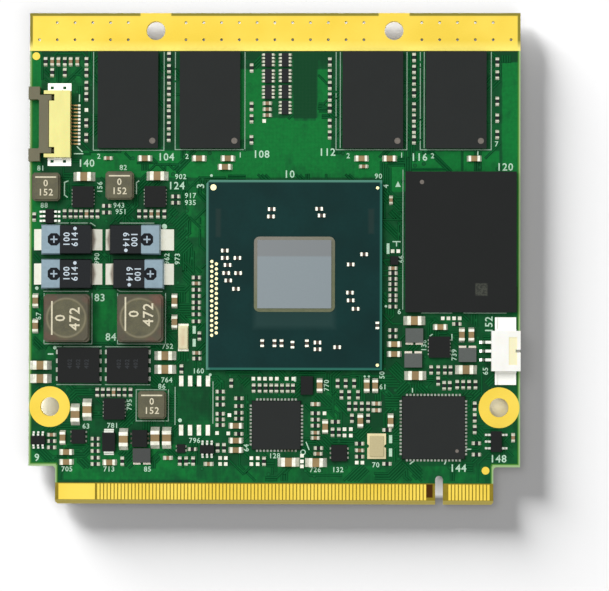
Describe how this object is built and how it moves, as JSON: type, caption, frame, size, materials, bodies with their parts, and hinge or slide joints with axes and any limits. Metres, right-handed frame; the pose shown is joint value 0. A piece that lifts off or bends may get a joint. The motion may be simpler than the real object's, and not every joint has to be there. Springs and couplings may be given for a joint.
{
  "type": "system on module",
  "caption": "Square processor board with a card edge, a gold ground strip, memory chips, power parts, a flat-cable socket with a sliding lock bar and a wire header.",
  "frame": {"origin": "below the centre of the board, on the plane that the module lies on", "axes": "+Z is the component side, +Y points from the card edge to the ground strip, +X to the wire header's side"},
  "size_m": [0.07, 0.07, 0.0052],
  "materials": {
    "solder_mask": "satin green solder mask over glass-fibre laminate",
    "gold_plate": "bright gold plating over copper",
    "tin": "tinned metal and solder",
    "package_gold_solder": "gold-toned solder",
    "contact_bronze": "plated phosphor bronze",
    "package_laminate": "dark teal package laminate",
    "carrier_laminate": "green laminate edge",
    "silicon": "lapped silicon",
    "underfill": "cured epoxy",
    "memory_mould": "moulded epoxy, laser matt",
    "black_mould": "moulded epoxy",
    "capacitor_mould": "moulded epoxy with a printed band",
    "pressed_powder": "pressed iron powder",
    "ferrite": "ground ferrite",
    "resistor_glaze": "black overglaze",
    "tan_ceramic": "fired ceramic",
    "crystal_ceramic": "fired ceramic",
    "crystal_metal": "plated lid",
    "cream_nylon": "moulded cream nylon",
    "brown_nylon": "moulded brown nylon",
    "white_nylon": "moulded white nylon"
  },
  "bodies": {
    "module": {"circuit_board": "solder_mask", "ground_strip_top": "gold_plate", "ground_strip_bottom": "gold_plate", "edge_contacts_top": "gold_plate", "edge_contacts_bottom": "gold_plate", "plated_holes": "gold_plate", "fiducials": "gold_plate", "bare_pads": "tin", "processor_substrate": "package_laminate", "processor_die": "silicon", "processor_underfill": "underfill", "processor_balls": "tin", "processor_capacitors": "tan_ceramic", "processor_capacitor_caps": "package_gold_solder", "processor_test_lands": "gold_plate", "memory_chip_1": "memory_mould", "memory_chip_2": "memory_mould", "memory_chip_3": "memory_mould", "memory_chip_4": "memory_mould", "flash_chip": "black_mould", "chip_carriers": "carrier_laminate", "chip_balls": "tin", "large_controller": "black_mould", "small_controller": "black_mould", "controller_leads": "tin", "polymer_capacitor_1": "capacitor_mould", "polymer_capacitor_2": "capacitor_mould", "polymer_capacitor_3": "capacitor_mould", "polymer_capacitor_4": "capacitor_mould", "polymer_terminals": "tin", "large_inductor_1": "pressed_powder", "large_inductor_2": "pressed_powder", "small_inductors": "pressed_powder", "inductor_terminals": "tin", "power_stage_1": "black_mould", "power_stage_2": "black_mould", "power_stage_leads": "tin", "regulators": "black_mould", "chip_inductors": "ferrite", "chip_inductor_terminals": "tin", "socket_housing": "cream_nylon", "socket_contacts": "contact_bronze", "header_housing": "white_nylon", "header_pins": "tin", "connector_anchor_tabs": "tin", "crystal_base": "crystal_ceramic", "crystal_can": "crystal_metal", "watch_crystal": "crystal_metal", "small_packages": "black_mould", "small_package_leads": "tin", "chip_resistors": "resistor_glaze", "chip_capacitors": "tan_ceramic", "large_chip_capacitors": "tan_ceramic", "chip_end_caps": "tin", "resistor_arrays": "resistor_glaze", "underside_bulk_capacitors": "tan_ceramic", "underside_bulk_caps": "tin", "underside_small_capacitors": "tan_ceramic", "underside_small_caps": "tin"},
    "lock_bar": {"socket_lock_bar": "brown_nylon"}
  },
  "joints": [
    {"name": "lock_bar_slide", "type": "slide", "parent": "module", "child": "lock_bar", "axis": [-1, 0, 0], "range_m": [0, 0.0012]}
  ]
}
